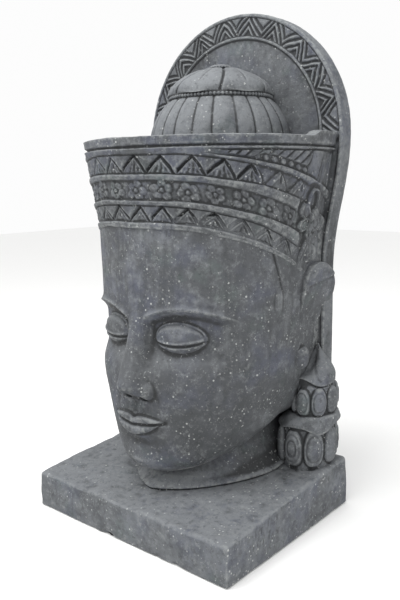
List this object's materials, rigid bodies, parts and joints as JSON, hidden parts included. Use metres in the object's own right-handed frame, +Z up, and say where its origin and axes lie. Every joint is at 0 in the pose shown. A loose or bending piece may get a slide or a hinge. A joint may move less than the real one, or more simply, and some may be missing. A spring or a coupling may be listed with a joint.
{
  "type": "stone head fountain",
  "caption": "Upright stone head on a plinth, with a banded crown holding a rim basin, ribbed topknot, round-headed back slab and drop earrings",
  "frame": {"origin": "centre of the plinth's underside", "axes": "+Z up, the head looks along -Y, +X is on the viewer's right"},
  "size_m": [0.499, 0.408, 1],
  "materials": {
    "stone": "weathered grey stone, matt, with pale wear on the edges and dark damp streaks"
  },
  "bodies": {
    "root": {"stone_head_fountain": "stone"}
  },
  "joints": []
}
